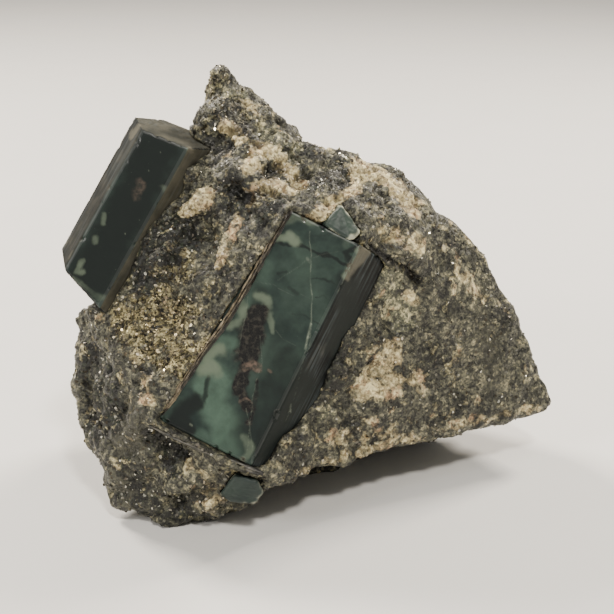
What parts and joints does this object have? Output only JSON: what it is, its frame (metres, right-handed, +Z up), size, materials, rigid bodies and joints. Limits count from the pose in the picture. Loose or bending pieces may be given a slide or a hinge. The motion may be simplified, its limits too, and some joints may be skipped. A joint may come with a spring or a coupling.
{
  "type": "emerald specimen",
  "caption": "Mica schist rock with polished hexagonal emerald crystals grown in it, standing on a flat patch; a display mineral specimen",
  "frame": {"origin": "centre of the specimen's bounding box in plan, on the surface that it stands on", "axes": "+X to the right of the shown side, along the specimen's greatest width; +Y away from the viewer, its least depth; +Z up"},
  "size_m": [0.1514, 0.0958, 0.1277],
  "materials": {
    "schist": "matte",
    "emerald": "polished"
  },
  "bodies": {
    "root": {"matrix_rock": "schist", "emerald_front": "emerald", "emerald_side": "emerald", "emerald_upper_chip": "emerald", "emerald_lower_chip": "emerald"}
  },
  "joints": []
}
